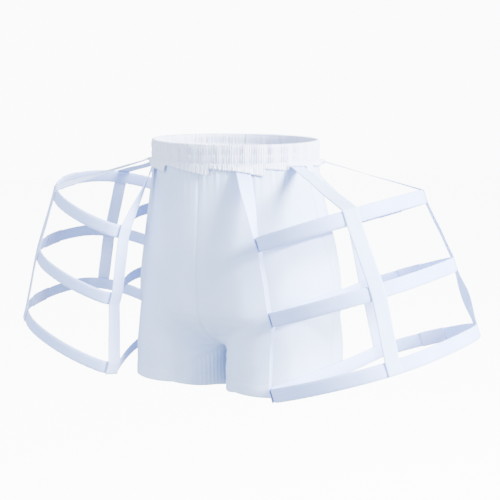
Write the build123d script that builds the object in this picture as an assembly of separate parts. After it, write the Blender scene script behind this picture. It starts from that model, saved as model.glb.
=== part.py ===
from build123d import *
import math
import os

# Hip cage shorts: short drawers with a gathered elastic waist, and on each hip a side cage of
# three closed, tape-covered hoops slung from the waist by four flat tapes.
# Millimetres.  +Z is up, the wearer faces -Y and the wearer's left is +X.
# The origin is the centre of the waist opening, level with its top edge.

os.makedirs("parts", exist_ok=True)

# ---- waist ----
waist_half_width = 129.0
waist_half_depth = 105.0
waist_casing_height = 30.0
waist_casing_thickness = 5.0
waist_cloth = 1.2            # each wall of the casing
elastic_height = 25.0
elastic_thickness = 1.8
threading_slot_width = 24.0  # left open inside the centre back, where the elastic is fed in
threading_slot_height = 10.0

# ---- drawers ----
cloth = 1.6
panel_ledge = 2.0            # how far the casing overhangs the cloth below it
crotch_drop = 300.0          # waist to crotch
hem_drop = 352.0             # waist to hem, outside of the leg
hem_dip = 36.0               # the hem hangs this much lower at the inner leg
hem_dip_reach = 55.0         # and has risen again this far from the middle
hem_fold = 18.0
hip_sway = 5.0               # the hips stand this far to the wearer's left of the waist
# drop below the waist, half width, half depth
hip_sections = [(110.0, 143.0, 108.0), (180.0, 158.0, 113.0), (240.0, 163.0, 111.0)]
crotch_section = (150.0, 92.0)
# drop below the waist, distance of the leg's centre from the middle, half width, half depth
leg_sections = [(170.0, 80.0, 60.0, 82.0), (230.0, 81.0, 71.0, 93.0), (290.0, 82.0, 76.5, 100.0),
                (400.0, 81.0, 74.0, 98.0)]

# ---- side cages ----
hoop_tilt = 19.0             # degrees that each hoop rises towards its outside
casing_width = 20.0
casing_thickness = 3.6
casing_cloth = 0.9
bone_width = 14.0
bone_thickness = 1.0
bone_channel_height = 16.0
inner_corner_radius = 24.0
front_bow = 28.0             # how far each run of a hoop bulges from a straight line
outer_bow = 29.0
rear_bow = 33.0
leg_clearance = 11.0         # between the drawers' side and the inner run of each hoop
# level of the front inner corner, then the plan place of the four corners of the outer face
hoops = {
    "top": {"level": -137.5, "front_inner": (95.0, -118.0), "front_outer": (251.0, -113.0),
            "rear_outer": (269.0, 76.0), "rear_inner": (119.0, 115.0)},
    "middle": {"level": -238.5, "front_inner": (117.0, -119.0), "front_outer": (289.0, -113.0),
               "rear_outer": (309.0, 92.0), "rear_inner": (150.0, 113.0)},
    "bottom": {"level": -340.5, "front_inner": (128.0, -127.0), "front_outer": (315.0, -116.0),
               "rear_outer": (340.0, 106.0), "rear_inner": (184.0, 112.0)},
}

# ---- joins of the hoops ----
join_gap = 1.0
sleeve_length = 30.0
sleeve_wall = 0.3
sleeve_clearance = 0.1
patch_length = 42.0
patch_cloth = 0.8
# place of the join along the outer run, from 0 at the front corner to 1 at the rear corner
join_place = {"left": 0.86, "right": 0.46}

# ---- hanging tapes ----
tape_width = 20.0
tape_thickness = 1.0
seat_clearance = 0.1         # between a tape and what it lies on
# where each tape leaves the waist, in degrees round from the wearer's left towards the back
tape_top_angle = {
    "left": {"front": -58.0, "front_outer": -19.0, "rear_outer": 24.0, "rear": 56.0},
    "right": {"front": -45.0, "front_outer": -21.0, "rear_outer": 24.0, "rear": 56.0},
}
hoop_corner = {"front": "front_inner", "front_outer": "front_outer",
               "rear_outer": "rear_outer", "rear": "rear_inner"}

far = 600.0                  # longer than the whole garment, for cutting tools


# ------------------------------------------------------------------ waist
def waist_ring(inset_out, inset_in, bottom, top):
    """An elliptical band between two insets from the casing's outer face."""
    height = top - bottom
    outer = Ellipse(waist_half_width - inset_out, waist_half_depth - inset_out)
    inner = Ellipse(waist_half_width - inset_in, waist_half_depth - inset_in)
    return Pos(0, 0, bottom) * extrude(outer - inner, amount=height)


def make_waist_casing():
    channel_clearance = (waist_casing_height - elastic_height) / 4
    casing = waist_ring(0, waist_casing_thickness, -waist_casing_height, 0)
    channel = waist_ring(waist_cloth, waist_casing_thickness - waist_cloth,
                         -waist_casing_height + channel_clearance, -channel_clearance)
    slot = Pos(0, waist_half_depth - waist_casing_thickness, -waist_casing_height / 2) * Box(
        threading_slot_width, 2 * waist_cloth, threading_slot_height)
    return casing - channel - slot


def make_waist_elastic():
    middle = waist_casing_thickness / 2
    margin = (waist_casing_height - elastic_height) / 2
    return waist_ring(middle - elastic_thickness / 2, middle + elastic_thickness / 2,
                      -waist_casing_height + margin, -margin)


# ------------------------------------------------------------------ drawers
def sway_at(drop):
    """The hips' sideways shift grows from nothing at the waist to its full value at the hip."""
    share = (drop - waist_casing_height) / (hip_sections[1][0] - waist_casing_height)
    return hip_sway * min(1.0, max(0.0, share))


def drawers_form(inset):
    """The solid form of the drawers, drawn in by inset on every side."""
    top_half_width = waist_half_width - panel_ledge - inset
    top_half_depth = waist_half_depth - panel_ledge - inset
    rings = [Pos(0, 0, -waist_casing_height) * Ellipse(top_half_width, top_half_depth)]
    for drop, half_width, half_depth in hip_sections:
        rings.append(Pos(sway_at(drop), 0, -drop) * Ellipse(half_width - inset, half_depth - inset))
    lowest = Pos(hip_sway, 0, -crotch_drop + inset)
    rings.append(lowest * Ellipse(crotch_section[0] - inset, crotch_section[1] - inset))
    form = loft(rings)
    for side in (1, -1):
        sections = []
        for drop, centre, half_width, half_depth in leg_sections:
            place = Pos(hip_sway + side * centre, 0, -drop)
            sections.append(place * Ellipse(half_width - inset, half_depth - inset))
        form = form + loft(sections)
    return form


def below_hem(rise):
    """Everything under the hem line, raised by rise."""
    line = -hem_drop + rise
    dip = line - hem_dip
    points = [(-far, line), (hip_sway - hem_dip_reach, line), (hip_sway, dip),
              (hip_sway + hem_dip_reach, line), (far, line), (far, -far * 2), (-far, -far * 2)]
    outline = make_face(Polyline(*points, close=True))
    return extrude(Plane.XZ * outline, amount=far, both=True)


def make_drawers():
    """The drawers' cloth as one shell, cut into its four panels at the seams."""
    shell = drawers_form(0)
    folded_inside = drawers_form(2 * cloth)
    single_inside = drawers_form(cloth) - below_hem(hem_fold)
    shell = shell - below_hem(0) - folded_inside - single_inside
    # the cloth stops at the casing, so the inside is open there
    panels = {}
    for across, side in (("left", 1), ("right", -1)):
        for along, facing in (("front", -1), ("back", 1)):
            corner = Pos(hip_sway + side * far / 2, facing * far / 2, -far / 2) * Box(far, far, far)
            panels[f"{along}_{across}_panel"] = shell & corner
    return panels


# ------------------------------------------------------------------ hoops
def drawers_reach(drop):
    """How far the drawers' side stands from the middle at a drop below the waist."""
    outline = [(waist_casing_height, waist_half_width - panel_ledge)]
    outline += [(at, half_width + sway_at(at)) for at, half_width, _ in hip_sections]
    outline += [(at, centre + half_width + hip_sway) for at, centre, half_width, _ in leg_sections[2:]]
    for (upper, reach_above), (lower, reach_below) in zip(outline, outline[1:]):
        if drop <= lower:
            return reach_above + (reach_below - reach_above) * (drop - upper) / (lower - upper)
    return outline[-1][1]


def leg_reach(hoop):
    """How far from the middle the inner run passes the leg.  It is clear of the drawers over
    the whole height of the band, on the side that the hips lean towards."""
    slope = math.tan(math.radians(hoop_tilt))
    reach = hoop["front_inner"][0]
    for _ in range(4):
        middle = -hoop["level"] - slope * (reach - hoop["front_inner"][0])
        reach = leg_clearance + max(drawers_reach(middle + half)
                                    for half in (-casing_width / 2, 0, casing_width / 2))
    return reach


def hoop_plane(hoop):
    """The plane of a hoop.  Its x axis runs outwards and up, and its origin is level with
    the front inner corner, on the garment's middle plane from front to back."""
    rise = math.radians(hoop_tilt)
    origin = (hoop["front_inner"][0], 0, hoop["level"])
    return Plane(origin=origin, x_dir=(math.cos(rise), 0, math.sin(rise)),
                 z_dir=(-math.sin(rise), 0, math.cos(rise)))


def in_plane(hoop, place):
    """A plan place as a point of the hoop's own tilted plane."""
    stretch = 1 / math.cos(math.radians(hoop_tilt))
    return ((place[0] - hoop["front_inner"][0]) * stretch, place[1])


def between(a, b, bow):
    """The point half way from a to b, moved sideways by bow."""
    return ((a[0] + b[0]) / 2 + bow[0], (a[1] + b[1]) / 2 + bow[1])


def two_arcs(start, start_way, end, end_way):
    """Two arcs that join start to end smoothly, leaving and arriving in the given directions."""
    chord = end - start
    ways = start_way + end_way
    spread = 2 * (1 - start_way.dot(end_way))
    reach = (math.sqrt(chord.dot(ways) ** 2 + spread * chord.dot(chord)) - chord.dot(ways)) / spread
    first_corner = start + start_way * reach
    last_corner = end - end_way * reach
    middle = (first_corner + last_corner) / 2
    return [TangentArc(start, middle, tangent=start_way),
            TangentArc(middle, end, tangent=last_corner - first_corner)]


def outer_run(hoop):
    """The hoop's line from the front inner corner round the outside to the rear one, as a
    chain of smoothly joined arcs."""
    front_inner, front_outer, rear_outer, rear_inner = (
        in_plane(hoop, hoop[name]) for name in hoop_corner.values())
    knots = [front_inner, between(front_inner, front_outer, (0, -front_bow)), front_outer,
             between(front_outer, rear_outer, (outer_bow, 0)), rear_outer,
             between(rear_outer, rear_inner, (0, rear_bow)), rear_inner]
    guide = Spline(*knots)
    ways = [guide.tangent_at(guide.param_at_point(Vector(*knot))) for knot in knots]
    arcs = []
    for i in range(len(knots) - 1):
        arcs += two_arcs(Vector(*knots[i]), ways[i], Vector(*knots[i + 1]), ways[i + 1])
    return Wire([arc.edge() for arc in arcs])


def hoop_face(hoop):
    """The face inside the hoop's line, in the hoop's own plane."""
    front_inner = Vector(*in_plane(hoop, hoop["front_inner"]))
    rear_inner = Vector(*in_plane(hoop, hoop["rear_inner"]))
    at_leg = Vector(*in_plane(hoop, (leg_reach(hoop), 0)))
    inner_run = ThreePointArc(rear_inner, at_leg, front_inner)
    face = make_face(outer_run(hoop).edges() + [inner_run.edge()])
    corners = [face.vertices().sort_by_distance(corner)[0] for corner in (front_inner, rear_inner)]
    return fillet(corners, inner_corner_radius)


def hoop_outline(hoop, inset):
    """The hoop's face drawn in by inset.  Every edge is an arc that meets the next smoothly, so
    each is redrawn about its own centre."""
    face = hoop_face(hoop)
    edges = []
    for edge in face.edges():
        points = []
        for place in (0, 0.5, 1):
            along = edge % place
            points.append((edge @ place, Vector(-along.Y, along.X)))
        middle, aside = points[1]
        inward = 1 if face.is_inside(middle + aside * casing_thickness) else -1
        edges.append(ThreePointArc(*[spot + aside * inward * inset for spot, aside in points]).edge())
    return make_face(edges)


def hoop_band(hoop, inset_out, inset_in, height):
    """A band round the hoop between two insets, centred on the hoop's plane."""
    solid = extrude(hoop_outline(hoop, inset_out), amount=height / 2, both=True)
    return solid - extrude(hoop_outline(hoop, inset_in), amount=height, both=True)


def join_block(hoop, side, length):
    """A block across the band at its join, as long as given along the band."""
    run = outer_run(hoop)
    spot = run @ join_place[side]
    along = run % join_place[side]
    turn = math.degrees(math.atan2(along.Y, along.X))
    return Pos(spot.X, spot.Y, 0) * Rot(0, 0, turn) * Box(length, 4 * casing_thickness, 3 * casing_width)


def make_hoop(hoop, side):
    """One hoop's casing, bone, bone sleeve and join patch, in the hoop's own plane."""
    middle = casing_thickness / 2
    half_bone = bone_thickness / 2
    half_hole = half_bone + sleeve_clearance
    half_sleeve = half_hole + sleeve_wall
    slit = join_block(hoop, side, join_gap)
    casing = hoop_band(hoop, 0, casing_thickness, casing_width)
    channel = hoop_band(hoop, casing_cloth, casing_thickness - casing_cloth, bone_channel_height)
    bone = hoop_band(hoop, middle - half_bone, middle + half_bone, bone_width)
    sleeve = hoop_band(hoop, middle - half_sleeve, middle + half_sleeve,
                       bone_width + 2 * (sleeve_clearance + sleeve_wall))
    sleeve_hole = hoop_band(hoop, middle - half_hole, middle + half_hole,
                            bone_width + 2 * sleeve_clearance)
    patch = hoop_band(hoop, -patch_cloth, casing_thickness + patch_cloth,
                      casing_width + 2 * patch_cloth)
    return {
        "casing": casing - channel - slit,
        "bone": bone - slit,
        "bone_sleeve": (sleeve & join_block(hoop, side, sleeve_length)) - sleeve_hole,
        "join_patch": (patch & join_block(hoop, side, patch_length)) - casing,
    }


# ------------------------------------------------------------------ tapes
def seat_on_hoop(hoop, corner):
    """Middle of the tape's seat on a hoop, the band's direction there and the way it faces."""
    plane = hoop_plane(hoop)
    if corner.endswith("inner"):
        arcs = hoop_face(hoop).edges().filter_by(
            lambda edge: abs(edge.radius - inner_corner_radius) < 0.01)
        arc = arcs.sort_by(Axis.Y)[0 if corner.startswith("front") else -1]
        spot = arc @ 0.5
        facing = (spot - arc.arc_center).normalized()
    else:
        run = outer_run(hoop)
        spot = Vector(*in_plane(hoop, hoop[corner]))
        along = run.tangent_at(run.param_at_point(spot))
        facing = Vector(along.Y, -along.X)
    along = Vector(-facing.Y, facing.X)
    origin = plane.from_local_coords(spot)
    return (origin, plane.from_local_coords(spot + along) - origin,
            plane.from_local_coords(spot + facing) - origin, plane.z_dir)


def seat_on_waist(angle):
    """Middle of the tape's end under the waist casing, and the casing's direction there."""
    turn = math.radians(angle)
    half_width = waist_half_width - panel_ledge + seat_clearance
    half_depth = waist_half_depth - panel_ledge + seat_clearance
    spot = Vector(half_width * math.cos(turn), half_depth * math.sin(turn), -waist_casing_height)
    along = Vector(-half_width * math.sin(turn), half_depth * math.cos(turn), 0).normalized()
    return spot, along


def make_tape(side, name):
    """A flat tape from the waist over the outer faces of the three hoops."""
    spots = []
    alongs = []
    waist_spot, waist_along = seat_on_waist(tape_top_angle[side][name])
    spots.append(waist_spot)
    alongs.append(waist_along)
    for hoop in hoops.values():
        seat, along, facing, up = seat_on_hoop(hoop, hoop_corner[name])
        on_face = seat + facing * seat_clearance
        for half in (casing_width / 2, -casing_width / 2):
            spots.append(on_face + up * half)
            alongs.append(along)
    faces = []
    for i in range(len(spots)):
        before = spots[i] - spots[i - 1] if i else spots[1] - spots[0]
        after = spots[i + 1] - spots[i] if i + 1 < len(spots) else before
        normal_before = before.cross(alongs[i]).normalized()
        normal_after = after.cross(alongs[i]).normalized()
        normal = (normal_before + normal_after).normalized()
        depth = tape_thickness / normal.dot(normal_after)
        if i == 0:
            # the end is cut level, to butt against the underside of the casing
            normal = Vector(normal_after.X, normal_after.Y, 0).normalized()
            depth = tape_thickness / normal.dot(normal_after)
        reach = alongs[i] * (tape_width / 2)
        corners = [spots[i] - reach, spots[i] + reach,
                   spots[i] + reach + normal * depth, spots[i] - reach + normal * depth]
        faces.append(Face(Wire.make_polygon(corners, close=True)))
    return Solid.make_loft([face.outer_wire() for face in faces], ruled=True)


# ------------------------------------------------------------------ the garment
def sided(solid, side):
    """Cages are made on the wearer's left and mirrored to the right."""
    return mirror(solid, about=Plane.YZ) if side == "right" else solid


nodes = {"waist_casing": make_waist_casing(), "waist_elastic": make_waist_elastic()}
nodes.update(make_drawers())
for side in ("left", "right"):
    for level, hoop in hoops.items():
        for piece, solid in make_hoop(hoop, side).items():
            nodes[f"{side}_{level}_{piece}"] = sided(hoop_plane(hoop).location * solid, side)
    for name in hoop_corner:
        nodes[f"{side}_{name}_tape"] = sided(make_tape(side, name), side)

for name, solid in nodes.items():
    export_step(solid, f"parts/{name}.step")
    print(name, round(solid.volume), "mm3")
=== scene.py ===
# %% [markdown]
# # Crinoline cage: hip cages on short drawers
# Short white drawers with a shirred elastic waist. On each hip hangs a side cage of three flat
# hoops, covered in cloth tape and slung from the waist by four flat tapes.
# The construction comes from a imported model, which we load as a fixed frame. Everything here
# reads its places from that frame, so the cloth always lands on the bones that carry it.

# %% Load the frame
import math
import bmesh
import bpy
import numpy as np
from mathutils import Matrix, Vector, noise
from mathutils.bvhtree import BVHTree


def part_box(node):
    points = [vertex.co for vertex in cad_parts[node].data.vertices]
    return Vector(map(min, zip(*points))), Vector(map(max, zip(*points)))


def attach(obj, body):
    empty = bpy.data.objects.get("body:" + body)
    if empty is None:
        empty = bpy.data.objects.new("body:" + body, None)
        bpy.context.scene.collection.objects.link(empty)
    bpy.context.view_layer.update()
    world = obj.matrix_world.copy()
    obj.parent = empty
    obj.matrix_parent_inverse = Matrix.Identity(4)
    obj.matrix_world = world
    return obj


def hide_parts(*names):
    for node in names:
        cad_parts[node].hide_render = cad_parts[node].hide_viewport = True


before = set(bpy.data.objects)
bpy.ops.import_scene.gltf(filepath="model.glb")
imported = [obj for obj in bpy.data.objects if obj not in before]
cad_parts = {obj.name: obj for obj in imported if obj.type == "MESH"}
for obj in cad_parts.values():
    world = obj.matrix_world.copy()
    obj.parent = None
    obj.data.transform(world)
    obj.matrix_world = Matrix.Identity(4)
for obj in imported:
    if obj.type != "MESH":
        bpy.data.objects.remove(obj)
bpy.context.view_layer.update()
millimetre = 0.001
levels = ("top", "middle", "bottom")
tape_names = ("front", "front_outer", "rear_outer", "rear")

# %% [markdown]
# ## The camera
# A long lens flattens the cages the way a catalogue picture does, so the camera stands well
# back, a little above the waist, and turns to the wearer's left. A camera looks along its own
# -Z, so it is first tipped up from looking at the floor and then turned about the upright axis.

# %% Camera
camera_distance = 1.778
camera_round = math.radians(32.6)
camera_height = 0.135
camera_turn = math.radians(31.9)
camera_tip = math.radians(80.4)
camera_roll = math.radians(-0.3)
lens_data = bpy.data.cameras.new("camera")
lens_data.lens = 87.26
lens_data.sensor_width = 36.0
camera = bpy.data.objects.new("camera", lens_data)
bpy.context.scene.collection.objects.link(camera)
stand = Vector((camera_distance * math.sin(camera_round),
                -camera_distance * math.cos(camera_round), camera_height))
aim = Matrix.Rotation(camera_turn, 4, "Z") @ Matrix.Rotation(camera_tip, 4, "X")
camera.matrix_world = Matrix.Translation(stand) @ aim @ Matrix.Rotation(camera_roll, 4, "Z")
bpy.context.scene.camera = camera
print("camera stands at", [round(value, 3) for value in stand])

# %% [markdown]
# ## The studio
# White cloth only shows its folds when the light is soft but not even. The pale sweep behind it
# glows, but it is kept out of the diffuse light, or a white room would light white cloth from
# every side and bleach the folds away. A dim sky fills the shadows instead, a large key lamp
# stands high on the wearer's left, and a weak one in front softens the folds.
# The garment is held at its waist, as if worn, so the floor lies well below it.

# %% Floor and lights
floor_level = -1.0
sweep_radius = 9.0
sweep_glow = 9.0


def light_sweep_material():
    material = bpy.data.materials.new("pale_sweep")
    material.use_nodes = True
    shader = material.node_tree.nodes["Principled BSDF"]
    shader.inputs["Base Color"].default_value = (0.93, 0.935, 0.95, 1)
    shader.inputs["Roughness"].default_value = 0.95
    shader.inputs["Emission Color"].default_value = (0.985, 0.99, 1.0, 1)
    shader.inputs["Emission Strength"].default_value = sweep_glow
    return material


def make_sweep():
    """A round floor whose rim curls up into a dome, so that no horizon shows."""
    bm = bmesh.new()
    bmesh.ops.create_uvsphere(bm, u_segments=64, v_segments=32, radius=sweep_radius)
    bmesh.ops.bisect_plane(bm, geom=bm.verts[:] + bm.edges[:] + bm.faces[:],
                           plane_co=(0, 0, 0), plane_no=(0, 0, 1), clear_inner=True)
    rim = [edge for edge in bm.edges if edge.is_boundary]
    bmesh.ops.holes_fill(bm, edges=rim)
    bmesh.ops.translate(bm, verts=bm.verts, vec=(0, 0, floor_level))
    bmesh.ops.reverse_faces(bm, faces=bm.faces)
    mesh = bpy.data.meshes.new("sweep")
    bm.to_mesh(mesh)
    bm.free()
    mesh.materials.append(light_sweep_material())
    sweep = bpy.data.objects.new("sweep", mesh)
    bpy.context.scene.collection.objects.link(sweep)
    sweep.visible_diffuse = False
    sweep.visible_glossy = False
    sweep.visible_shadow = False


def dim_sky(colour, strength):
    world = bpy.data.worlds.new("sky")
    world.use_nodes = True
    background = world.node_tree.nodes["Background"]
    background.inputs["Color"].default_value = (*colour, 1)
    background.inputs["Strength"].default_value = strength
    bpy.context.scene.world = world


def soft_lamp(name, place, size, power, colour):
    lamp = bpy.data.lights.new(name, "AREA")
    lamp.shape = "DISK"
    lamp.size = size
    lamp.energy = power
    lamp.color = colour
    holder = bpy.data.objects.new(name, lamp)
    bpy.context.scene.collection.objects.link(holder)
    holder.location = place
    holder.rotation_euler = (-Vector(place)).to_track_quat("-Z", "Y").to_euler()


make_sweep()
dim_sky(colour=(0.80, 0.88, 1.0), strength=1.9)
soft_lamp("key", place=(3.0, -0.2, 1.3), size=1.2, power=1100, colour=(1.0, 1.0, 1.0))
soft_lamp("fill", place=(-0.6, -3.0, 0.6), size=2.0, power=130, colour=(0.84, 0.91, 1.0))
print("sweep and", len(bpy.data.lights), "lamps")

# %% [markdown]
# ## Reading a hoop from the frame
# Each hoop is a flat band in a tilted plane. Its upright direction is the one in which its
# bone is thinnest as a whole, which a singular value decomposition finds. Rays from the middle
# of the hoop then strike the inside of the casing, and rays from outside strike its outer face.
# Half way between the two runs a rough line. Rays miss the tight corners, so each point of that
# line is then moved onto the bone, and the cloth of the hoop follows the bone all the way round.

# %% Hoop lines
ray_count = 900
ray_start = 0.5
line_step = 3 * millimetre
bone_thickness = 1.0 * millimetre
casing_depth = 3.6 * millimetre
casing_width = 20 * millimetre


def node_points(name):
    return np.array([vertex.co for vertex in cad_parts[name].data.vertices], float)


def node_tree(name):
    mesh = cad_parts[name].data
    return BVHTree.FromPolygons([vertex.co for vertex in mesh.vertices],
                                [polygon.vertices for polygon in mesh.polygons])


def even_loop(points, step):
    """A closed line again, with its points evenly spaced."""
    closed = np.vstack([points, points[:1]])
    along = np.concatenate([[0], np.cumsum(np.linalg.norm(np.diff(closed, axis=0), axis=1))])
    places = np.linspace(0, along[-1], int(along[-1] / step) + 1)[:-1]
    return np.stack([np.interp(places, along, closed[:, k]) for k in range(3)], axis=1), along[-1]


def read_hoop(side, level):
    bone = node_points(f"{side}_{level}_bone")
    middle = (bone.max(0) + bone.min(0)) / 2
    up = np.linalg.svd(bone - bone.mean(0), full_matrices=False)[2][2]
    up = up * np.sign(up[2])
    heights = bone @ up
    middle = middle + up * ((heights.max() + heights.min()) / 2 - middle @ up)
    first = np.cross(up, (0, 1, 0))
    first = first / np.linalg.norm(first)
    second = np.cross(up, first)
    casing = node_tree(f"{side}_{level}_casing")
    line = []
    for turn in np.linspace(0, 2 * math.pi, ray_count, endpoint=False):
        way = Vector(first * math.cos(turn) + second * math.sin(turn))
        inner = casing.ray_cast(Vector(middle), way)[0]
        outer = casing.ray_cast(Vector(middle) + way * ray_start, -way)[0]
        if inner and outer and (inner - outer).length < 3 * casing_depth:
            line.append((inner + outer) / 2)
    bone_tree = node_tree(f"{side}_{level}_bone")
    followed = []
    for point in even_loop(np.array(line), line_step)[0]:
        spot, normal = bone_tree.find_nearest(Vector(point))[:2]
        followed.append(spot - normal * bone_thickness / 2)
    points, length = even_loop(np.array(followed), line_step)
    along = np.roll(points, -1, axis=0) - np.roll(points, 1, axis=0)
    along = along / np.linalg.norm(along, axis=1)[:, None]
    outward = np.cross(along, up)
    outward = outward * np.sign(((points - middle) * outward).sum(1).mean())
    return {"points": points, "outward": outward, "up": up, "middle": middle, "length": length}


hoops = {(side, level): read_hoop(side, level) for side in ("left", "right") for level in levels}
for key, hoop in hoops.items():
    print(key, "runs", round(hoop["length"], 3), "m")


def on_hoop(hoop, share):
    """Points and outward directions at shares of the way round, which may pass 1."""
    count = len(hoop["points"])
    places = np.asarray(share) % 1 * count
    grid = np.arange(count + 1)
    found = []
    for key in ("points", "outward"):
        closed = np.vstack([hoop[key], hoop[key][:1]])
        found.append(np.stack([np.interp(places, grid, closed[:, k]) for k in range(3)], axis=-1))
    return found


# %% [markdown]
# ## Cloth finishes
# Every cloth here is white cotton, but not the same cotton: the drawers are a plain weave, the
# tapes a twill and the waist is shirred. Their base colours are painted blue-grey shade: white
# cloth coloured with the blue of its shadows. The thread pattern is two wave textures crossed
# on the piece's own UV map, which is laid out in metres, so threads have their true size. A noise
# in object space greys the cloth faintly in clouds, as washed cotton is, and gives it soft
# crumples. Values that are the same everywhere are set on the shader itself.

# %% Cloth material
wave_period = 2 * math.pi / 20
thread_tone = 0.08
cloud_scale = 14
slub_scale = 900


def wave(tree, coordinates, direction, pitch):
    node = tree.nodes.new("ShaderNodeTexWave")
    node.bands_direction = direction
    node.inputs["Scale"].default_value = wave_period / pitch
    node.inputs["Distortion"].default_value = 0.35
    node.inputs["Detail"].default_value = 1.0
    node.inputs["Detail Scale"].default_value = 0.2
    tree.links.new(coordinates, node.inputs["Vector"])
    return node.outputs["Fac"]


def combine(tree, operation, first, second):
    node = tree.nodes.new("ShaderNodeMath")
    node.operation = operation
    for socket, value in zip(node.inputs, (first, second)):
        if isinstance(value, (int, float)):
            socket.default_value = value
        else:
            tree.links.new(value, socket)
    return node.outputs[0]


def clouds(tree, coordinates, scale, detail):
    node = tree.nodes.new("ShaderNodeTexNoise")
    node.inputs["Scale"].default_value = scale
    node.inputs["Detail"].default_value = detail
    tree.links.new(coordinates, node.inputs["Vector"])
    return node.outputs["Fac"]


def blend_colours(tree, amount, low, high):
    ramp = tree.nodes.new("ShaderNodeValToRGB")
    ramp.color_ramp.elements[0].position = 0.3
    ramp.color_ramp.elements[0].color = (*low, 1)
    ramp.color_ramp.elements[1].position = 0.7
    ramp.color_ramp.elements[1].color = (*high, 1)
    tree.links.new(amount, ramp.inputs["Fac"])
    return ramp.outputs["Color"]


def bump(tree, height, strength, distance, under=None):
    node = tree.nodes.new("ShaderNodeBump")
    node.inputs["Strength"].default_value = strength
    node.inputs["Distance"].default_value = distance
    tree.links.new(height, node.inputs["Height"])
    if under is not None:
        tree.links.new(under, node.inputs["Normal"])
    return node.outputs["Normal"]


def cloth(name, low, high, pitch, weave, thread_depth, crumple_depth, crumple_scale):
    """A woven cotton. weave is plain or twill, and pitch is the distance between threads."""
    material = bpy.data.materials.new(name)
    material.use_nodes = True
    tree = material.node_tree
    shader = tree.nodes["Principled BSDF"]
    where = tree.nodes.new("ShaderNodeTexCoord")
    across = wave(tree, where.outputs["UV"], "X", pitch)
    along = wave(tree, where.outputs["UV"], "Y", pitch)
    threads = combine(tree, "MULTIPLY", across, along)
    if weave == "twill":
        slant = wave(tree, where.outputs["UV"], "DIAGONAL", 2 * pitch)
        threads = combine(tree, "ADD", combine(tree, "MULTIPLY", slant, 0.8), threads)
    cloud = clouds(tree, where.outputs["Object"], cloud_scale, 4)
    slub = clouds(tree, where.outputs["Object"], slub_scale, 2)
    tone = combine(tree, "ADD", combine(tree, "MULTIPLY", cloud, 0.75),
                   combine(tree, "MULTIPLY", slub, 0.25))
    shade = combine(tree, "ADD", tone, combine(tree, "MULTIPLY", threads, thread_tone))
    tree.links.new(blend_colours(tree, shade, low, high), shader.inputs["Base Color"])
    crumple = clouds(tree, where.outputs["Object"], crumple_scale, 3)
    soft = bump(tree, crumple, 0.5, crumple_depth)
    tree.links.new(bump(tree, threads, 0.5, thread_depth, soft), shader.inputs["Normal"])
    shader.inputs["Roughness"].default_value = 0.86
    shader.inputs["Specular IOR Level"].default_value = 0.25
    shader.inputs["Sheen Weight"].default_value = 0.18
    shader.inputs["Sheen Roughness"].default_value = 0.5
    return material


# Painted shade: these white cottons get blue-grey low and high colours, the blue of their shadows.
drawers_cotton = cloth("drawers_cotton", low=(0.45, 0.57, 0.81), high=(0.55, 0.66, 0.90),
                       pitch=0.45 * millimetre, weave="plain", thread_depth=0.12 * millimetre,
                       crumple_depth=1.6 * millimetre, crumple_scale=22)
shirred_cotton = cloth("shirred_cotton", low=(0.58, 0.63, 0.81), high=(0.70, 0.74, 0.90),
                       pitch=0.4 * millimetre, weave="plain", thread_depth=0.1 * millimetre,
                       crumple_depth=0.5 * millimetre, crumple_scale=120)
hoop_tape = {"pitch": 0.55 * millimetre, "weave": "twill", "thread_depth": 0.16 * millimetre,
             "crumple_depth": 0.5 * millimetre, "crumple_scale": 90}
casing_twill = cloth("casing_twill", (0.37, 0.50, 0.90), (0.46, 0.58, 0.97), **hoop_tape)
# Painted shade: the join patch is the casing's own tape, coloured a little darker and greyer.
shaded_patch_twill = cloth("shaded_patch_twill", (0.38, 0.46, 0.80), (0.46, 0.54, 0.88), **hoop_tape)
hanging_twill = cloth("hanging_twill", low=(0.43, 0.55, 0.91), high=(0.53, 0.64, 0.98),
                      pitch=0.6 * millimetre, weave="twill", thread_depth=0.18 * millimetre,
                      crumple_depth=0.9 * millimetre, crumple_scale=60)
print("cloths:", [m.name for m in bpy.data.materials if m.name.endswith(("cotton", "twill"))])

# %% [markdown]
# Thread is shinier than cloth, because it is twisted tight. Its twist is one fine diagonal wave.

# %% Thread material


def make_thread_material():
    material = bpy.data.materials.new("sewing_thread")
    material.use_nodes = True
    tree = material.node_tree
    shader = tree.nodes["Principled BSDF"]
    where = tree.nodes.new("ShaderNodeTexCoord")
    twist = wave(tree, where.outputs["Object"], "DIAGONAL", 0.3 * millimetre)
    tree.links.new(blend_colours(tree, twist, (0.60, 0.64, 0.74), (0.80, 0.83, 0.90)),
                   shader.inputs["Base Color"])
    tree.links.new(bump(tree, twist, 0.5, 0.05 * millimetre), shader.inputs["Normal"])
    shader.inputs["Roughness"].default_value = 0.55
    return material


thread_material = make_thread_material()
print("thread:", thread_material.name)

# %% [markdown]
# ## A grid that is bent into cloth
# Tubes and tapes are long strips, so one helper starts each from a flat grid with UVs and lets
# a function say where every point of the strip goes. Where the strip closes on itself its two
# edges fall together and are welded. The UVs are scaled to metres for the weave.

# %% Strip helper
weld_distance = 0.004 * millimetre
tube_rows = 28


def to_piece(bm, name, material):
    """A bmesh as a smooth object at the origin that rides with the garment."""
    mesh = bpy.data.meshes.new(name)
    bm.to_mesh(mesh)
    bm.free()
    mesh.materials.append(material)
    mesh.shade_smooth()
    piece = bpy.data.objects.new(name, mesh)
    bpy.context.scene.collection.objects.link(piece)
    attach(piece, "root")
    return piece


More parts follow.
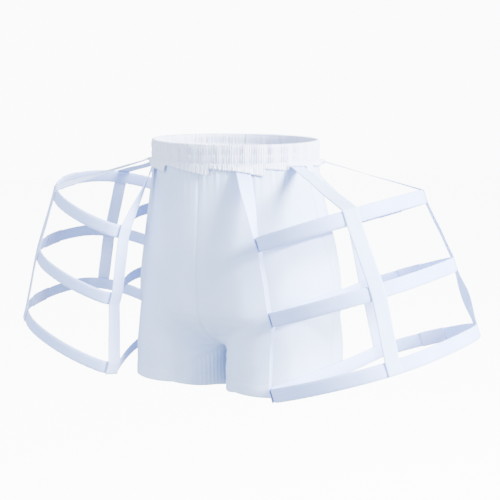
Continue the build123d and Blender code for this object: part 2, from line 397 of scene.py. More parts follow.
def bend_grid(columns, rows, place, size):
    """place(u, v) takes arrays from 0 to 1 across and along, and returns their points."""
    bm = bmesh.new()
    layer = bm.loops.layers.uv.new("UVMap")
    bmesh.ops.create_grid(bm, x_segments=columns, y_segments=rows, size=0.5, calc_uvs=True)
    for face in bm.faces:
        for loop in face.loops:
            loop[layer].uv = (loop[layer].uv.x * size[0], loop[layer].uv.y * size[1])
    flat = np.array([vertex.co for vertex in bm.verts])
    bent = place(flat[:, 0] + 0.5, flat[:, 1] + 0.5)
    for vertex, point in zip(bm.verts, bent):
        vertex.co = point
    bmesh.ops.remove_doubles(bm, verts=bm.verts, dist=weld_distance)
    bmesh.ops.recalc_face_normals(bm, faces=bm.faces)
    return bm


def thicken(piece, thickness, offset=0.0):
    solid = piece.modifiers.new("thickness", "SOLIDIFY")
    solid.thickness = thickness
    solid.offset = offset


def smooth_step(value):
    value = np.clip(value, 0, 1)
    return value * value * (3 - 2 * value)


chance = np.random.default_rng(11)


def wander(count, low, high):
    """A smooth uneven wave round a closed loop: a few sines with seeded phases, within 1."""
    turns = chance.integers(low, high, count)
    phases = chance.uniform(0, 2 * math.pi, count)

    def value(share):
        share = np.asarray(share)
        return sum(np.sin(2 * math.pi * n * share + p) for n, p in zip(turns, phases)) / count
    return value


# %% [markdown]
# ## Hoop casings
# A hoop's casing is a woven tube pulled over a flat bone, then stitched close along both edges
# of the bone. So its section is not a rectangle: it is full over the bone and thin at the two
# stitched margins, and the margins pucker a little where the stitching draws them in.

# %% Casings
bone_half = 7.6 * millimetre
stitch_line = bone_half + 0.9 * millimetre
margin_depth = 1.1 * millimetre
margin_slope = 1.2 * millimetre
edge_squareness = 14
pucker_depth = 0.35 * millimetre
pucker_rise = 0.25 * millimetre
drift_depth = 0.2 * millimetre


def casing_half_depth(height):
    """Half the thickness of the tube at a height across its face."""
    over_bone = smooth_step((stitch_line - abs(height)) / margin_slope)
    depth = margin_depth + (casing_depth / 2 - margin_depth) * over_bone
    return depth * np.sqrt(np.clip(1 - abs(height / (casing_width / 2)) ** edge_squareness, 0, 1))


def make_casing(side, level):
    hoop = hoops[side, level]
    pucker = wander(5, 60, 95)
    drift = wander(4, 3, 9)

    def place(u, v):
        point, outward = on_hoop(hoop, u)
        height = -casing_width / 2 * np.cos(2 * math.pi * v)
        face = np.where(v < 0.5, 1, -1)
        margin = smooth_step((abs(height) - 0.6 * bone_half) / (0.4 * bone_half))
        out = face * casing_half_depth(height)
        out = out + pucker_depth * margin * pucker(u) + drift_depth * drift(u)
        height = height + pucker_rise * pucker(u + 0.31) * margin
        return point + outward * out[:, None] + hoop["up"] * height[:, None]

    size = (hoop["length"], 2 * casing_width)
    bm = bend_grid(int(hoop["length"] / line_step), tube_rows, place, size)
    casing = to_piece(bm, f"{side}_{level}_hoop_cover", casing_twill)
    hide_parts(f"{side}_{level}_casing")
    return casing


casings = {key: make_casing(*key) for key in hoops}
print("casings:", len(casings), "with", len(casings["left", "top"].data.vertices), "points each")

# %% [markdown]
# ## Join patches
# The ends of a casing meet over the join of its bone, and a short piece of the same tape is
# wrapped round and stitched there. It is the same kind of tube, a little larger, over a short
# stretch, and its ends are cut square.

# %% Patches
patch_length = 42 * millimetre
patch_reach = casing_width / 2 + 0.5 * millimetre
patch_depth = casing_depth / 2 + 0.45 * millimetre
patch_cloth = 0.7 * millimetre
crease_depth = 0.18 * millimetre


def nearest_share(hoop, point):
    return float(np.argmin(np.linalg.norm(hoop["points"] - point, axis=1))) / len(hoop["points"])


def make_patch(side, level):
    hoop = hoops[side, level]
    points = node_points(f"{side}_{level}_join_patch")
    middle = nearest_share(hoop, (points.max(0) + points.min(0)) / 2)
    stretch = patch_length / hoop["length"]
    crease = wander(4, 2, 7)

    def place(u, v):
        point, outward = on_hoop(hoop, middle + (u - 0.5) * stretch)
        height = -patch_reach * np.cos(2 * math.pi * v)
        face = np.where(v < 0.5, 1, -1)
        full = np.sqrt(np.clip(1 - abs(height / patch_reach) ** 10, 0, 1))
        out = face * patch_depth * full + crease_depth * crease(v)
        return point + outward * out[:, None] + hoop["up"] * height[:, None]

    bm = bend_grid(24, tube_rows, place, (patch_length, 4 * patch_reach))
    patch = to_piece(bm, f"{side}_{level}_wrapped_join", shaded_patch_twill)
    thicken(patch, patch_cloth)
    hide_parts(f"{side}_{level}_join_patch")
    return patch


patches = {key: make_patch(*key) for key in hoops}
print("patches:", len(patches))

# %% [markdown]
# ## Hanging tapes
# Each tape runs straight from the waist to the top hoop and on from hoop to hoop, lying on their
# outer faces. Cutting the frame's tape with a plane at the waist and at both edges of each hoop
# gives thin rectangles. The middle and long side of each say where the tape is and how it is
# turned. Between hoops the cloth is a little slack, so it bows and ripples there, and the rear
# outer tape turns a little between its lowest hoops.

# %% Tape sections
tape_thickness = 1.0 * millimetre
waist_low, waist_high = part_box("waist_casing")
cut_margin = 0.4 * millimetre


def cut_section(name, origin, normal):
    """Middle and width direction of a tape's node where a plane cuts it."""
    bm = bmesh.new()
    bm.from_mesh(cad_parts[name].data)
    whole = bm.verts[:] + bm.edges[:] + bm.faces[:]
    cut = bmesh.ops.bisect_plane(bm, geom=whole, plane_co=origin, plane_no=normal)["geom_cut"]
    points = np.array([item.co for item in cut if isinstance(item, bmesh.types.BMVert)])
    bm.free()
    middle = points.mean(0)
    axes = np.linalg.svd(points - middle, full_matrices=False)[2][:2]
    spread = (points - middle) @ axes.T
    middle = middle + axes.T @ ((spread.max(0) + spread.min(0)) / 2)
    return middle, axes[0]


def read_tape(side, name):
    node = f"{side}_{name}_tape"
    sections = [cut_section(node, (0, 0, waist_low.z - cut_margin), (0, 0, 1))]
    for level in levels:
        hoop = hoops[side, level]
        for edge in (casing_width / 2 - cut_margin, cut_margin - casing_width / 2):
            origin = hoop["middle"] + hoop["up"] * edge
            sections.append(cut_section(node, origin, hoop["up"]))
    middles = np.array([section[0] for section in sections])
    widths = np.array([section[1] for section in sections])
    for i in range(1, len(widths)):
        widths[i] *= np.sign(widths[i] @ widths[i - 1])
    return middles, widths


tape_lines = {(side, name): read_tape(side, name) for side in ("left", "right")
              for name in tape_names}
print("tape sections read:", sum(len(line[0]) for line in tape_lines.values()))

# %% Tapes
tape_width = 20 * millimetre
tape_step = 2.5 * millimetre
cup_depth = 0.5 * millimetre
slack = {"front": 0.5, "front_outer": 0.6, "rear_outer": 1.2, "rear": 1.0}
lowest_twist = {"front": 0, "front_outer": 0, "rear_outer": math.radians(-24), "rear": 0}


def make_tape(side, name):
    middles, widths = tape_lines[side, name]
    steps = np.linalg.norm(np.diff(middles, axis=0), axis=1)
    along = np.concatenate([[0], np.cumsum(steps)])
    length = along[-1]
    ripple = wander(4, 2, 6)
    cup = wander(3, 2, 6)
    lowest_free = len(steps) - 2

    def place(u, v):
        distance = v * length
        middle = np.stack([np.interp(distance, along, middles[:, k]) for k in range(3)], axis=1)
        width = np.stack([np.interp(distance, along, widths[:, k]) for k in range(3)], axis=1)
        width = width / np.linalg.norm(width, axis=1)[:, None]
        segment = np.clip(np.searchsorted(along, distance, side="right") - 1, 0, len(steps) - 1)
        way = (middles[segment + 1] - middles[segment]) / steps[segment][:, None]
        face = np.cross(way, width)
        face = face / np.linalg.norm(face, axis=1)[:, None]
        face = face * np.sign((face * (middle * (1, 1, 0))).sum(1))[:, None]
        inside = (distance - along[segment]) / steps[segment]
        free = np.where(segment % 2 == 0, np.sin(math.pi * inside) ** 2, 0)
        rearward = np.sign(width[:, 1] + 1e-9)
        twist = lowest_twist[name] * free * (segment == lowest_free)
        turned = np.cos(twist)[:, None] * width + (np.sin(twist) * rearward)[:, None] * face
        side_place = (u - 0.5) * tape_width
        bow = slack[name] * millimetre * free * ripple(v + 0.05 * (u - 0.5))
        cupping = cup_depth * free * cup(v) * (2 * abs(u - 0.5)) ** 2
        return middle + turned * side_place[:, None] + face * (bow + cupping)[:, None]

    bm = bend_grid(10, int(length / tape_step), place, (tape_width, length))
    tape = to_piece(bm, f"{side}_{name}_strap", hanging_twill)
    thicken(tape, 0.9 * tape_thickness)
    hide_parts(f"{side}_{name}_tape")
    return tape, length


tapes = {key: make_tape(*key) for key in tape_lines}
for key, (tape, length) in tapes.items():
    print(tape.name, "is cut", round(length, 3), "m long")

# %% [markdown]
# ## The shirred waist
# The waist is a tube of cloth drawn up on elastic. The cloth is half as long again as the
# elastic, so it stands in some three hundred fine upright pleats. Geometry is the right tool,
# because the pleats break the outline. The points are spread evenly round the ellipse first,
# so that the pleats are equally wide at the front and at the hips.

# %% Waist
pleat_width = 2.3 * millimetre
fullness = 1.5
waist_height = waist_high.z - waist_low.z
wall_gap = 5 * millimetre
pleat_depth = 0.85 * millimetre
pinch_depth = 0.5 * millimetre
pinch_reach = 1.1 * millimetre
ragged_edge = 0.5 * millimetre
pleat_columns = 6
turns = np.linspace(0, 2 * math.pi, 4001)
half_sides = np.array([waist_high.x - wall_gap / 2, waist_high.y - wall_gap / 2])
ellipse = np.stack([half_sides[0] * np.cos(turns), half_sides[1] * np.sin(turns)], axis=1)
round_waist = np.concatenate([[0], np.cumsum(np.linalg.norm(np.diff(ellipse, axis=0), axis=1))])
waist_round = round_waist[-1]
pleats = int(waist_round / pleat_width)


def on_waist(share):
    """Point and outward direction of the waist's middle line at a share of the way round."""
    turn = np.interp(np.asarray(share) % 1 * waist_round, round_waist, turns)
    point = np.stack([half_sides[0] * np.cos(turn), half_sides[1] * np.sin(turn),
                      np.zeros_like(turn)], axis=-1)
    outward = np.stack([np.cos(turn) / half_sides[0], np.sin(turn) / half_sides[1],
                        np.zeros_like(turn)], axis=-1)
    return point, outward / np.linalg.norm(outward, axis=-1, keepdims=True)


pleat_wander = wander(6, 9, 40)
pleat_size = wander(5, 30, 90)


def pleat(share, lean):
    """The pleats' outline, from -1 in the folds to 1 on the crests."""
    phase = 2 * math.pi * pleats * share + 2.2 * pleat_wander(share) + lean
    return 1 - 2 * abs(np.sin(phase / 2)) ** 0.8


def make_waist():
    def place(u, v):
        point, outward = on_waist(u)
        up = -np.cos(2 * math.pi * v)
        height = waist_low.z + waist_height * (up + 1) / 2
        face = np.where(v < 0.5, 1, -1)
        closing = np.sqrt(np.clip(1 - abs(up) ** 10, 0, 1))
        row_pinch = 0
        for row in stitch_rows:
            row_pinch = row_pinch + np.exp(-((height - row) / pinch_reach) ** 2)
        depth = pleat_depth * (1 + 0.9 * pleat_size(u)) * (1 - 0.45 * np.clip(row_pinch, 0, 1))
        fold = pleat(u, 3.0 * (height / waist_height) * pleat_size(u + 0.13))
        out = face * closing * (wall_gap / 2 - pinch_depth * row_pinch + depth * fold)
        ragged = ragged_edge * fold * (up > 0.9)
        return point + outward * out[:, None] + np.array([0, 0, 1]) * (height + ragged)[:, None]

    size = (fullness * waist_round, 2 * waist_height)
    bm = bend_grid(pleats * pleat_columns, tube_rows, place, size)
    waist = to_piece(bm, "shirred_waist", shirred_cotton)
    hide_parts("waist_casing")
    return waist


stitch_rows = [waist_low.z + share * waist_height for share in (0.12, 0.5, 0.88)]
waist = make_waist()
print("waist", round(waist_round, 3), "m round in", pleats, "pleats")

# %% [markdown]
# ## The frill under the waist
# Below the elastic the gathered cloth ends in a ragged frill. It drops in long slants and steps
# back up, and it rides out over the tapes, which come from beneath it. Its slope follows the
# cloth of the hips, and beside each tape it lifts a little more than that tape slopes. The
# cloth keeps its length, so where it leans out it hangs less far down.

# %% Frill
frill_slants = 9
frill_start = 0.96
frill_short = 3.5 * millimetre
frill_long = 14 * millimetre
frill_tuck = 4 * millimetre
frill_cloth = 0.5 * millimetre
teeth_depth = 1.7 * millimetre
tape_near = 15 * millimetre
tape_blend = 5 * millimetre
steepest_lift = 4.0
steep_tape = 0.7
tape_clearance = 1.6 * millimetre


def tape_lifts():
    """Where each tape leaves the waist, as a share of the way round, and how it slopes out."""
    lifts = []
    for middles, _ in tape_lines.values():
        shares = np.linspace(0, 1, 2000, endpoint=False)
        place, outward = on_waist(shares)
        at = int(np.argmin(np.linalg.norm(place[:, :2] - middles[0][:2], axis=1)))
        way = middles[1] - middles[0]
        lifts.append((shares[at], float(way @ outward[at]) / -way[2]))
    return lifts


lifts = tape_lifts()
frill_uneven = wander(5, 3, 9)
frill_ruffle = wander(6, 70, 120)
frill_teeth = wander(4, 150, 260)


def make_frill():
    def place(u, v):
        point, outward = on_waist(u)
        slant = (u * frill_slants + frill_start + 0.10 * frill_uneven(u)) % 1
        drop = frill_short + (frill_long - frill_short) * slant ** 1.2
        drop = drop + teeth_depth * (1.2 - slant) * frill_teeth(u)
        slope = 0.12 + 0.10 * abs(outward[:, 0])
        raised = 0
        for share, tape_slope in lifts:
            away = abs((u - share + 0.5) % 1 - 0.5) * waist_round
            near = smooth_step((tape_near - away) / tape_blend)
            lifted = min(tape_slope + 0.15, steepest_lift)
            slope = slope + np.maximum(lifted - slope, 0) * near
            if tape_slope > steep_tape:
                raised = raised + tape_clearance * near
        depth = v * (drop + frill_tuck)
        below = np.maximum(depth - frill_tuck, 0)
        lean = np.sqrt(1 + slope ** 2)
        out = wall_gap / 2 - 0.9 * millimetre * (1 - smooth_step(v * 3))
        out = out + below * slope / lean
        out = out + v * 1.0 * millimetre * (1 + frill_ruffle(u))
        out = out + 0.75 * millimetre * (1 - 0.4 * v) * pleat(u, 0)
        height = waist_low.z + frill_tuck - depth + below * (1 - 1 / lean)
        height = height + raised * smooth_step(v * 2)
        return point + outward * out[:, None] + np.array([0, 0, 1]) * height[:, None]

    bm = bend_grid(pleats * pleat_columns, 8, place, (fullness * waist_round, frill_long))
    frill = to_piece(bm, "waist_frill", shirred_cotton)
    thicken(frill, frill_cloth)


make_frill()
print("frill of", frill_slants, "slants over tapes of slope", [round(lift[1], 2) for lift in lifts])

# %% [markdown]
# ## The drawers
# The body of the drawers is a tube that divides into two legs. Rings are bridged into a closed
# torso and two closed legs, and a voxel remesh fuses them, which rounds the crotch as sewn cloth
# is. Cutting planes then open the waist and the hems and divide the skin at its seams.
# Levels are heights in metres under the top of the waist.

# %% Sections of the drawers
panel_names = ("front_left_panel", "front_right_panel", "back_left_panel", "back_right_panel")
panel_low = Vector([min(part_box(name)[0][k] for name in panel_names) for k in range(3)])
panel_high = Vector([max(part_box(name)[1][k] for name in panel_names) for k in range(3)])
seam_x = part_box("front_left_panel")[0].x
crotch_level = -0.300
leg_top_level = -0.306
leg_end_level = -0.350
voxel = 2.7 * millimetre
inner_squareness = 2.15     # 2 is an ellipse; the thighs press the inner legs a little flatter
taper_start = -0.235        # from here down the torso is drawn in, and the legs take over
taper_share = 0.85
smooth_rounds = 7
crotch_rounds = 30


def cut_panels(names, level):
    """Lowest and highest x and y of panels where a level plane cuts them."""
    points = []
    for name in names:
        bm = bmesh.new()
        bm.from_mesh(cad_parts[name].data)
        whole = bm.verts[:] + bm.edges[:] + bm.faces[:]
        cut = bmesh.ops.bisect_plane(bm, geom=whole, plane_co=(0, 0, level),
                                     plane_no=(0, 0, 1))["geom_cut"]
        points += [item.co.copy() for item in cut if isinstance(item, bmesh.types.BMVert)]
        bm.free()
    found = np.array(points)
    return found.min(0)[:2], found.max(0)[:2]


def square_off(vertices, toward):
    """Flattens the half of a unit circle that faces toward, 1 or -1 along x."""
    for vertex in vertices:
        if vertex.co.x * toward > 0:
            for axis in (0, 1):
                size = abs(vertex.co[axis]) ** (2 / inner_squareness)
                vertex.co[axis] = math.copysign(size, vertex.co[axis])


def ring_stack(bm, rings, toward=0):
    """Closed ellipses, bridged one to the next and capped at both ends."""
    loops = []
    for low, high, level in rings:
        place = Matrix.Translation(((low[0] + high[0]) / 2, (low[1] + high[1]) / 2, level))
        shape = Matrix.Diagonal(((high[0] - low[0]) / 2, (high[1] - low[1]) / 2, 1, 1))
        made = bmesh.ops.create_circle(bm, segments=96, radius=1)
        square_off(made["verts"], toward)
        bmesh.ops.transform(bm, matrix=place @ shape, verts=made["verts"])
        loops.append([edge for edge in bm.edges if all(v in made["verts"] for v in edge.verts)])
    for upper, lower in zip(loops, loops[1:]):
        bmesh.ops.bridge_loops(bm, edges=upper + lower)
    bmesh.ops.contextual_create(bm, geom=loops[0])
    bmesh.ops.contextual_create(bm, geom=loops[-1])


def torso_rings():
    rings = []
    for level in np.linspace(panel_high.z - millimetre, crotch_level + millimetre, 20):
        low, high = cut_panels(panel_names, level)
        share = np.clip((taper_start - level) / (taper_start - crotch_level), 0, 1)
        tuck = (high - low) / 2 * (0, 1 - math.sqrt(1 - taper_share * share ** 2))
        rings.append((low + tuck, high - tuck, level))
    low, high, _ = rings[0]
    return [(low, high, panel_high.z + 10 * millimetre)] + rings


def leg_rings(side):
    names = [name for name in panel_names if side in name]
    low, high = cut_panels(names, leg_top_level)
    end_low, end_high = cut_panels(names, leg_end_level)
    rings = []
    for level in (-0.200, -0.250, leg_top_level, leg_end_level, -0.400):
        share = max((leg_top_level - level) / (leg_top_level - leg_end_level), 0)
        tuck = 0.02 * (max(0.0, level - leg_top_level) / 0.1) ** 2
        rings.append((low + (end_low - low) * share + tuck,
                      high + (end_high - high) * share - tuck, level))
    return rings


def make_form():
    bm = bmesh.new()
    ring_stack(bm, torso_rings())
    for side, toward in (("left", -1), ("right", 1)):
        ring_stack(bm, leg_rings(side), toward)
    bmesh.ops.recalc_face_normals(bm, faces=bm.faces)
    mesh = bpy.data.meshes.new("drawers_form")
    bm.to_mesh(mesh)
    bm.free()
    form = bpy.data.objects.new("drawers_form", mesh)
    bpy.context.scene.collection.objects.link(form)
    remesh = form.modifiers.new("fuse", "REMESH")
    remesh.mode = "VOXEL"
    remesh.voxel_size = voxel
    fused = bpy.data.meshes.new_from_object(
        form.evaluated_get(bpy.context.evaluated_depsgraph_get()))
    bpy.data.objects.remove(form)
    skin = bmesh.new()
    skin.from_mesh(fused)
    crotch = [vertex for vertex in skin.verts
              if abs(vertex.co.x - seam_x) < 0.05 and -0.335 < vertex.co.z < -0.275]
    for vertices, rounds in ((skin.verts, smooth_rounds), (crotch, crotch_rounds)):
        for _ in range(rounds):
            bmesh.ops.smooth_vert(skin, verts=vertices, factor=0.5, use_axis_x=True,
                                  use_axis_y=True, use_axis_z=True)
    return skin


skin = make_form()
print("fused form has", len(skin.verts), "points")

# %% [markdown]
# ### Hems and seams
# The hem runs level round the outside of each leg and dips towards the inside. Two cuts give
# both lines, and what lies under them is deleted. Cuts at the middle and at the sides put clean
# edges where the four panels are sewn.

# %% Cut the skin
hem_level = -0.352
hem_dip_reach = 55 * millimetre
hem_lowest = panel_low.z


def hem_line(x):
    """The level of the hem at a distance from the middle seam."""
    share = np.clip(abs(x - seam_x) / hem_dip_reach, 0, 1)
    return hem_lowest + (hem_level - hem_lowest) * share


def cut_skin(origin, normal):
    bmesh.ops.bisect_plane(skin, geom=skin.verts[:] + skin.edges[:] + skin.faces[:],
                           plane_co=origin, plane_no=normal)


def open_skin():
    rise = (hem_level - hem_lowest) / hem_dip_reach
    cut_skin((0, 0, panel_high.z), (0, 0, 1))
    cut_skin((0, 0, hem_level), (0, 0, 1))
    cut_skin((seam_x, 0, hem_lowest), (-rise, 0, 1))
    cut_skin((seam_x, 0, hem_lowest), (rise, 0, 1))
    cut_skin((seam_x, 0, 0), (1, 0, 0))
    cut_skin((0, 0, 0), (0, 1, 0))
    spare = []
    for face in skin.faces:
        middle = face.calc_center_median()
        if middle.z > panel_high.z or middle.z < hem_line(middle.x):
            spare.append(face)
    bmesh.ops.delete(skin, geom=spare, context="FACES")
    bmesh.ops.recalc_face_normals(skin, faces=skin.faces)


open_skin()
print("opened skin has", len(skin.faces), "faces")

# %% [markdown]
# ### Folds
# Cloth that is gathered, walked in and sewn is never smooth. Upright gathers fall from the waist
# and fade, short creases fan out from the crotch, one deep fold drops down each side behind the
# tapes, and the inner legs pleat at the hem. Each is a small push along the skin's own normal,
# written as a function of where the point is.

# %% Push the folds
side_fold_depth = 4.2 * millimetre
hem_fold = 16.5 * millimetre        # how far the stitched fold stands above the hem
front_lift_share = 0.62
seam_groove = 0.9 * millimetre
seam_reach = 2.4 * millimetre
on_a_line = 1e-5


def gathers(around, drop):
    wave_sum = math.sin(around * 62) + 0.7 * math.sin(around * 97 + 1.3)
    wave_sum += 0.4 * math.sin(around * 37)
    return 0.8 * millimetre * wave_sum * math.exp(-drop / 0.022)


def crotch_creases(point):
    x, z = abs(point.x - seam_x), point.z - crotch_level
    away = math.hypot(x, z)
    fan = math.sin(math.atan2(z, x) * 11 + 14 * away)
    return 0.7 * millimetre * fan * math.exp(-(away / 0.06) ** 2) * min(1, away / 0.02)


def side_fold(point):
    near = math.exp(-((point.y + 0.004) / 0.016) ** 2) * (abs(point.x - seam_x) > 0.08)
    fade = smooth_step((point.z + 0.185) / 0.07) * smooth_step((-0.034 - point.z) / 0.02)
    return -side_fold_depth * near * fade


def inner_leg_pleats(point):
    x, drop = abs(point.x - seam_x), crotch_level - point.z
    strength = math.exp(-(x / 0.022) ** 2) * smooth_step(drop / 0.03)
    return 1.0 * millimetre * math.sin(point.y * 900 + point.x * 300) * strength


def broad_drape(point):
    slow = noise.noise(Vector((point.x * 11, point.y * 11, point.z * 7)) + Vector((3, 1, 7)))
    quick = noise.noise(Vector((point.x * 34, point.y * 34, point.z * 16)) + Vector((9, 4, 2)))
    return (2.2 * slow + 0.8 * quick) * millimetre


def hem_relief(point):
    rise = point.z - hem_line(point.x)
    fold_edge = 0.5 * smooth_step((18 * millimetre - rise) / (1.5 * millimetre))
    groove = -0.6 * math.exp(-((rise - hem_fold) / (1.6 * millimetre)) ** 2)
    return (fold_edge + groove) * millimetre


def front_lift(point):
    """How much higher the front of the hem hangs than the back, which shows inside below it."""
    dip = hem_level - hem_line(point.x)
    facing = smooth_step(0.5 - point.y / 0.11)
    above = point.z - hem_line(point.x)
    return front_lift_share * dip * facing * smooth_step(1 - above / 0.075)


def seam_relief(point):
    middle = math.exp(-((point.x - seam_x) / seam_reach) ** 2)
    sides = math.exp(-(point.y / seam_reach) ** 2) * (abs(point.x - seam_x) > 0.03)
    return -seam_groove * max(middle, sides)


def push_folds():
    """Moves the skin and returns the deepest push. Edges that are sewn stay in their planes."""
    skin.normal_update()
    moves = []
    for vertex in skin.verts:
        point = vertex.co
        around = math.atan2(point.y, point.x - seam_x)
        drop = panel_high.z - point.z
        move = gathers(around, drop) + crotch_creases(point) + side_fold(point)
        move += inner_leg_pleats(point) + broad_drape(point) * smooth_step(drop / 0.04)
        moves.append(move + hem_relief(point) + seam_relief(point))
    for vertex, move in zip(skin.verts, moves):
        push = vertex.normal * move
        if abs(vertex.co.x - seam_x) < on_a_line:
            push.x = 0
        if abs(vertex.co.y) < on_a_line:
            push.y = 0
        if vertex.co.z > panel_high.z - on_a_line:
            push.z = 0
        push.z += front_lift(vertex.co)
        vertex.co += push
    return max(abs(move) for move in moves)


deepest = push_folds()
skin_tree = BVHTree.FromBMesh(skin)
print("the deepest fold is", round(deepest / millimetre, 1), "mm")

# %% [markdown]
# ### Four panels
# The skin is divided at its seams into the four panels that are cut and sewn. Each gets its UVs
# from its turn about the leg and its height, so that the threads run up and round, and a cloth
# thickness that grows inwards.

# %% Panels
drawers_cloth_thickness = 1.2 * millimetre
leg_middle_x = 0.081
leg_radius = 0.09


def panel_bmesh(left, front):
    part = skin.copy()
    spare = []
    for face in part.faces:
        middle = face.calc_center_median()
        if (middle.x > seam_x) != left or (middle.y < 0) != front:
            spare.append(face)
    bmesh.ops.delete(part, geom=spare, context="FACES")
    layer = part.loops.layers.uv.new("UVMap")
    leg_middle = seam_x + (leg_middle_x if left else -leg_middle_x)
    for face in part.faces:
        for loop in face.loops:
            point = loop.vert.co
            turn = math.atan2(point.x - leg_middle, abs(point.y) + 0.02)
            loop[layer].uv = (turn * leg_radius, point.z)
    return part


def make_panel(name):
    bm = panel_bmesh("left" in name, "front" in name)
    area = sum(face.calc_area() for face in bm.faces)
    panel = to_piece(bm, name.replace("panel", "drawers"), drawers_cotton)
    thicken(panel, drawers_cloth_thickness, -1.0)
    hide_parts(name)
    print(panel.name, "covers", round(area, 4), "square metres")


for name in panel_names:
    make_panel(name)

# %% [markdown]
# ## Stitches
# A stitch is a short rounded length of thread sunk into the cloth. One low icosphere is drawn
# out into a grain and repeated along a line of points. There are thousands, so each stays at
# twenty faces.

# %% Stitch rows
stitch_pitch = 3.2 * millimetre
stitch_size = (1.15 * millimetre, 0.26 * millimetre, 0.22 * millimetre)
tape_row_half = 8 * millimetre


def spaced(points):
    """Points of a line again, one stitch apart."""
    line = np.asarray(points)
    along = np.concatenate([[0], np.cumsum(np.linalg.norm(np.diff(line, axis=0), axis=1))])
    places = np.arange(stitch_pitch / 2, along[-1], stitch_pitch)
    return np.stack([np.interp(places, along, line[:, k]) for k in range(3)], axis=1)


def sew(bm, points, normals):
    """Puts a stitch at each point, lying along the line and facing out by the normal."""
    ways = np.gradient(points, axis=0)
    for point, way, normal in zip(points, ways, normals):
        forward = Vector(way).normalized()
        face = Vector(normal)
        face = (face - forward * face.dot(forward)).normalized()
        aside = face.cross(forward)
        turn = Matrix((forward, aside, face)).transposed().to_4x4()
        matrix = Matrix.Translation(Vector(point)) @ turn @ Matrix.Diagonal((*stitch_size, 1))
        bmesh.ops.create_icosphere(bm, subdivisions=1, radius=1, matrix=matrix)


def sew_hoop(side, level):
    hoop = hoops[side, level]
    bm = bmesh.new()
    shares = np.arange(0, 1, stitch_pitch / hoop["length"])
    points, outward = on_hoop(hoop, shares)
    for height in (-1, 1):
        for face in (-1, 1):
            row = points + hoop["up"] * height * stitch_line
            row = row + outward * face * (margin_depth + 0.12 * millimetre)
            sew(bm, row, outward * face)
    return to_piece(bm, f"{side}_{level}_hoop_stitches", thread_material)


def sew_tapes():
    bm = bmesh.new()
    for middles, widths in tape_lines.values():
        for i in range(1, 6, 2):
            way = middles[i + 1] - middles[i]
            length = np.linalg.norm(way)
            width = widths[i] + widths[i + 1]
            width = width / np.linalg.norm(width)
            face = np.cross(way / length, width)
            face = face * np.sign(face @ (middles[i] * (1, 1, 0)))
            for share in (0.14, 0.86):
                middle = middles[i] + way * share + face * 0.55 * millimetre
                row = spaced([middle - width * tape_row_half, middle + width * tape_row_half])
                sew(bm, row, np.tile(face, (len(row), 1)))
    to_piece(bm, "tape_stitches", thread_material)


hoop_stitches = [sew_hoop(*key) for key in hoops]
sew_tapes()
print("stitched", len(hoop_stitches), "hoops and the tapes")

# %% [markdown]
# On the drawers the rows must lie on the folded skin, so each wanted point is moved to the
# nearest place on it, and the stitch takes the skin's normal there.

# %% Stitches of the drawers and waist
skin_reach = 0.012
row_top = panel_high.z - 0.018
seam_row_half = 3 * millimetre
hem_cut_level = -0.345


def on_skin(points):
    """The nearest places on the skin, and its normals there, for points that lie near it."""
    places, normals = [], []
    for point in points:
        place, normal, _, distance = skin_tree.find_nearest(Vector(point))
        if distance < skin_reach:
            places.append(place + normal * 0.1 * millimetre)
            normals.append(normal)
    return np.array(places), np.array(normals)


def seam_row(x_offset, y_side):
    """Points down the middle seam, front or back, at a small offset from it."""
    rows = []
    for level in np.arange(row_top, crotch_level + 0.012, -stitch_pitch):
        start = Vector((seam_x + x_offset, y_side * 0.3, level))
        hit = skin_tree.ray_cast(start, Vector((0, -y_side, 0)))[0]
        if hit:
            rows.append(hit)
    return rows


def side_row(x_side, y_offset):
    """Points down a side seam, left or right, at a small offset from it."""
    rows = []
    for level in np.arange(row_top, hem_level + 0.002, -stitch_pitch):
        start = Vector((x_side * 0.4, y_offset, level))
        hit = skin_tree.ray_cast(start, Vector((-x_side, 0, 0)))[0]
        if hit:
            rows.append(hit)
    return rows


def hem_row(side):
    """Points round one leg, a fold's height above its hem."""
    low, high = cut_panels([name for name in panel_names if side in name], hem_cut_level)
    middle, half = (low + high) / 2, (high - low) / 2
    turns_round = np.linspace(0, 2 * math.pi, 400)
    x = middle[0] + half[0] * np.cos(turns_round)
    y = middle[1] + half[1] * np.sin(turns_round)
    row = [Vector(point) for point in zip(x, y, hem_line(x) + hem_fold)]
    return np.array([point + Vector((0, 0, front_lift(point))) for point in row])


def sew_drawers():
    bm = bmesh.new()
    rows = []
    for offset in (-seam_row_half, seam_row_half):
        for y_side in (-1, 1):
            rows.append(seam_row(offset, y_side))
        for x_side in (-1, 1):
            rows.append(side_row(x_side, offset))
    for side in ("left", "right"):
        rows.append(spaced(hem_row(side)))
    for row in rows:
        places, normals = on_skin(row)
        sew(bm, places, normals)
    to_piece(bm, "drawers_stitches", thread_material)


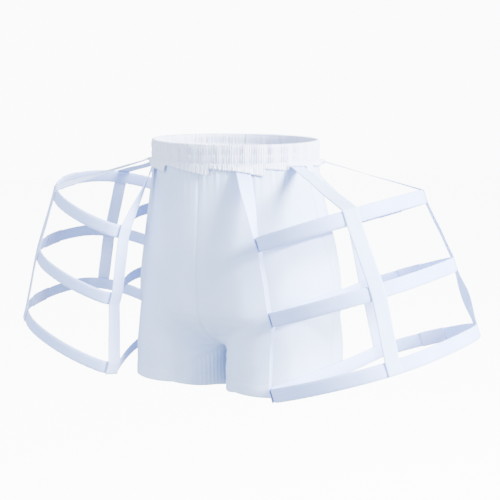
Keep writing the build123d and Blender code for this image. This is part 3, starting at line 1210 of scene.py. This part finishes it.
def sew_waist():
    bm = bmesh.new()
    shares = np.arange(0, 1, stitch_pitch / waist_round)
    points, outward = on_waist(shares)
    for level in stitch_rows:
        row = points + outward * (wall_gap / 2 + 0.1 * millimetre)
        row[:, 2] = level
        sew(bm, row, outward)
    to_piece(bm, "waist_stitches", thread_material)


sew_drawers()
sew_waist()
skin.free()
print("stitched the drawers and the waist")

# %% [markdown]
# ## What is inside
# The bones, their sleeves and the elastic are covered by cloth. They are still pieces of the
# garment, so they keep the frame's shapes and get real finishes: drawn plastic with faint
# lines, brushed steel, and ribbed elastic webbing.

# %% Hidden parts


def inner_finish(name, low, high, pitch, depth, roughness, metallic):
    material = bpy.data.materials.new(name)
    material.use_nodes = True
    tree = material.node_tree
    shader = tree.nodes["Principled BSDF"]
    where = tree.nodes.new("ShaderNodeTexCoord")
    lines = wave(tree, where.outputs["Object"], "Z", pitch)
    grain = clouds(tree, where.outputs["Object"], 260, 3)
    tone = combine(tree, "ADD", combine(tree, "MULTIPLY", lines, 0.5),
                   combine(tree, "MULTIPLY", grain, 0.5))
    tree.links.new(blend_colours(tree, tone, low, high), shader.inputs["Base Color"])
    tree.links.new(bump(tree, tone, 0.4, depth), shader.inputs["Normal"])
    shader.inputs["Roughness"].default_value = roughness
    shader.inputs["Metallic"].default_value = metallic
    return material


def dress(ending, material):
    found = [node for name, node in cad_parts.items() if name.endswith(ending)]
    for node in found:
        node.data.materials.clear()
        node.data.materials.append(material)
    return len(found)


bone_finish = inner_finish("drawn_plastic", (0.70, 0.71, 0.72), (0.82, 0.83, 0.84),
                           pitch=1.2 * millimetre, depth=0.05 * millimetre,
                           roughness=0.42, metallic=0)
sleeve_finish = inner_finish("brushed_steel", (0.48, 0.49, 0.50), (0.62, 0.63, 0.64),
                             pitch=0.5 * millimetre, depth=0.03 * millimetre,
                             roughness=0.34, metallic=1)
elastic_finish = inner_finish("ribbed_elastic", (0.72, 0.73, 0.76), (0.84, 0.85, 0.88),
                              pitch=1.6 * millimetre, depth=0.2 * millimetre,
                              roughness=0.8, metallic=0)
print("bones", dress("_bone", bone_finish), "sleeves", dress("_bone_sleeve", sleeve_finish),
      "elastic", dress("waist_elastic", elastic_finish))
